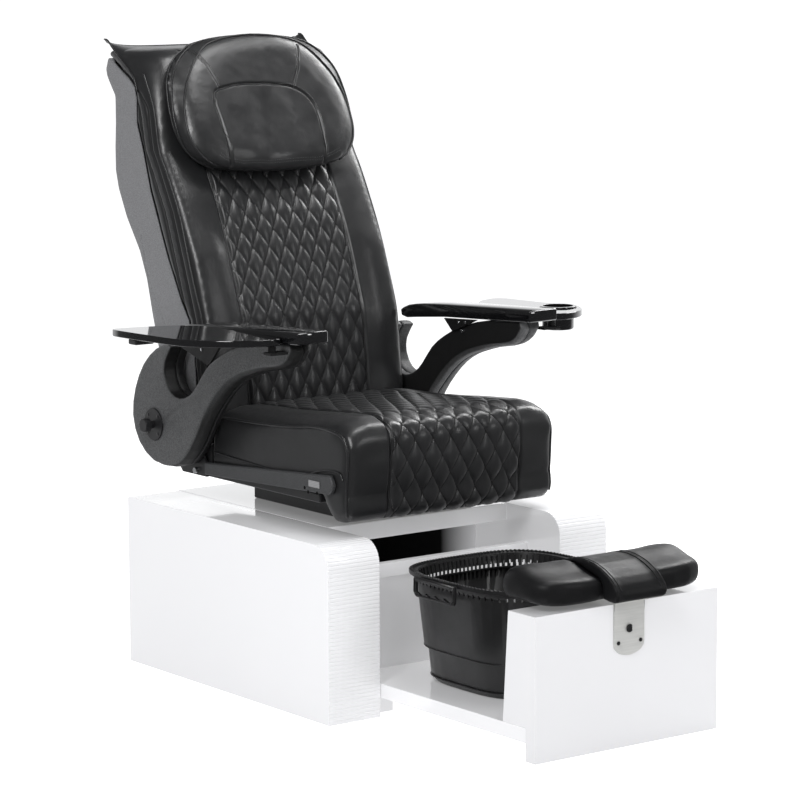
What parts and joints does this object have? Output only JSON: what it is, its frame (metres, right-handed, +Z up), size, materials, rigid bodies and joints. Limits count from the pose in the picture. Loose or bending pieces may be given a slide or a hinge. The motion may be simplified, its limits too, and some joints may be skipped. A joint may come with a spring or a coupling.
{
  "type": "pedicure spa chair",
  "caption": "Reclining leather pedicure chair on a white cabinet base, with lift-up arms, swing-out trays, a headrest, and a pull-out drawer with a foot bucket and a flip-up footrest.",
  "frame": {"origin": "on the floor, under the middle of the cabinet's back panel", "axes": "+Z up, +X to the right of someone facing the chair, the chair faces -Y"},
  "size_m": [1.07, 1.6006, 1.4116],
  "materials": {
    "white_gloss": "white gloss lacquer",
    "white_edge": "white satin lacquer",
    "black_board": "black melamine",
    "black_steel": "black powder coat",
    "zinc_steel": "zinc plated",
    "brushed_steel": "brushed",
    "chrome": "polished",
    "caster_tyre": "matt",
    "foam_skin": "grained self-skinning foam",
    "bucket_plastic": "satin black",
    "leather": "soft black leather",
    "charcoal_plastic": "fine grain",
    "gloss_black": "mirror gloss",
    "label_grey": "printed plate"
  },
  "bodies": {
    "base": {"base_left_block": "white_gloss", "base_right_block": "white_gloss", "base_left_floor_rail": "white_edge", "base_right_floor_rail": "white_edge", "base_deck": "white_gloss", "base_back_panel": "white_gloss", "base_bulkhead": "black_board", "seat_slide_box": "black_steel"},
    "drawer": {"drawer_tray": "white_gloss", "drawer_front_block": "white_gloss", "drawer_fascia": "white_gloss", "drawer_back_panel": "white_gloss", "drawer_left_caster_fork": "zinc_steel", "drawer_right_caster_fork": "zinc_steel", "footrest_bracket": "brushed_steel", "bracket_left_screw": "black_steel", "bracket_right_screw": "black_steel", "bracket_latch_button": "black_steel"},
    "left_caster": {"drawer_left_caster_wheel": "caster_tyre"},
    "right_caster": {"drawer_right_caster_wheel": "caster_tyre"},
    "footrest": {"footrest_pad": "foam_skin", "footrest_saddle": "foam_skin", "footrest_hinge_leaf": "brushed_steel"},
    "bucket": {"bucket_tub": "bucket_plastic", "bucket_liner_ring": "bucket_plastic"},
    "left_bucket_handle": {"bucket_left_handle": "bucket_plastic"},
    "right_bucket_handle": {"bucket_right_handle": "bucket_plastic"},
    "seat": {"seat_cushion": "leather", "seat_frame": "black_steel", "seat_left_slide_rail": "zinc_steel", "seat_right_slide_rail": "zinc_steel", "seat_left_side_rail": "charcoal_plastic", "seat_right_side_rail": "charcoal_plastic", "seat_left_pivot_bracket": "black_steel", "seat_right_pivot_bracket": "black_steel", "seat_rail_label": "label_grey", "seat_recline_bolt": "chrome"},
    "back": {"back_shell": "charcoal_plastic", "back_frame": "black_steel", "back_cushion": "leather", "back_top_flap": "leather"},
    "headrest": {"headrest_pillow": "leather"},
    "left_arm": {"left_arm_outer_shell": "charcoal_plastic", "left_arm_inner_shell": "charcoal_plastic", "left_arm_cap": "gloss_black", "left_arm_cap_strut": "black_steel", "left_arm_pivot_plate": "black_steel", "left_arm_pivot_pin": "black_steel", "left_tray_pivot": "black_steel"},
    "left_tray_top": {"left_tray": "gloss_black", "left_tray_slider": "black_steel"},
    "right_arm": {"right_arm_outer_shell": "charcoal_plastic", "right_arm_inner_shell": "charcoal_plastic", "right_arm_cap": "gloss_black", "right_arm_cap_strut": "black_steel", "right_arm_pivot_plate": "black_steel", "right_arm_pivot_pin": "black_steel", "right_tray_pivot": "black_steel"},
    "right_tray_top": {"right_tray": "gloss_black", "right_cup_holder": "gloss_black"}
  },
  "joints": [
    {"name": "drawer_slide", "type": "slide", "parent": "base", "child": "drawer", "axis": [0, -1, 0], "range_m": [-0.515, 0]},
    {"name": "left_caster_spin", "type": "hinge", "parent": "drawer", "child": "left_caster", "pos_m": [-0.165, -1.23, 0.0165], "axis": [1, 0, 0], "continuous": true},
    {"name": "right_caster_spin", "type": "hinge", "parent": "drawer", "child": "right_caster", "pos_m": [0.165, -1.23, 0.0165], "axis": [1, 0, 0], "continuous": true},
    {"name": "footrest_flip", "type": "hinge", "parent": "drawer", "child": "footrest", "pos_m": [0, -1.2985, 0.3085], "axis": [1, 0, 0], "range_deg": [0, 90]},
    {"name": "bucket_lift", "type": "slide", "parent": "drawer", "child": "bucket", "axis": [0, 0, 1], "range_m": [0, 0.3]},
    {"name": "left_bucket_handle_swing", "type": "hinge", "parent": "bucket", "child": "left_bucket_handle", "pos_m": [-0.1985, -0.895, 0.3045], "axis": [0, 1, 0], "range_deg": [0, 95]},
    {"name": "right_bucket_handle_swing", "type": "hinge", "parent": "bucket", "child": "right_bucket_handle", "pos_m": [0.1985, -0.895, 0.3045], "axis": [0, -1, 0], "range_deg": [0, 95]},
    {"name": "seat_slide", "type": "slide", "parent": "base", "child": "seat", "axis": [0, 1, 0], "range_m": [-0.08, 0.04]},
    {"name": "back_recline", "type": "hinge", "parent": "seat", "child": "back", "pos_m": [0, -0.047, 0.55], "axis": [-1, 0, 0], "range_deg": [0, 38]},
    {"name": "headrest_height", "type": "slide", "parent": "back", "child": "headrest", "axis": [0, 0.2588, 0.9659], "range_m": [0, 0.06]},
    {"name": "left_arm_lift", "type": "hinge", "parent": "seat", "child": "left_arm", "pos_m": [-0.313, -0.047, 0.55], "axis": [-1, 0, 0], "range_deg": [0, 65]},
    {"name": "right_arm_lift", "type": "hinge", "parent": "seat", "child": "right_arm", "pos_m": [0.313, -0.047, 0.55], "axis": [-1, 0, 0], "range_deg": [0, 65]},
    {"name": "left_tray_swing", "type": "hinge", "parent": "left_arm", "child": "left_tray_top", "pos_m": [-0.374, -0.568, 0.8], "axis": [0, 0, 1], "range_deg": [0, 50]},
    {"name": "right_tray_swing", "type": "hinge", "parent": "right_arm", "child": "right_tray_top", "pos_m": [0.374, -0.588, 0.8], "axis": [0, 0, -1], "range_deg": [0, 50]}
  ]
}
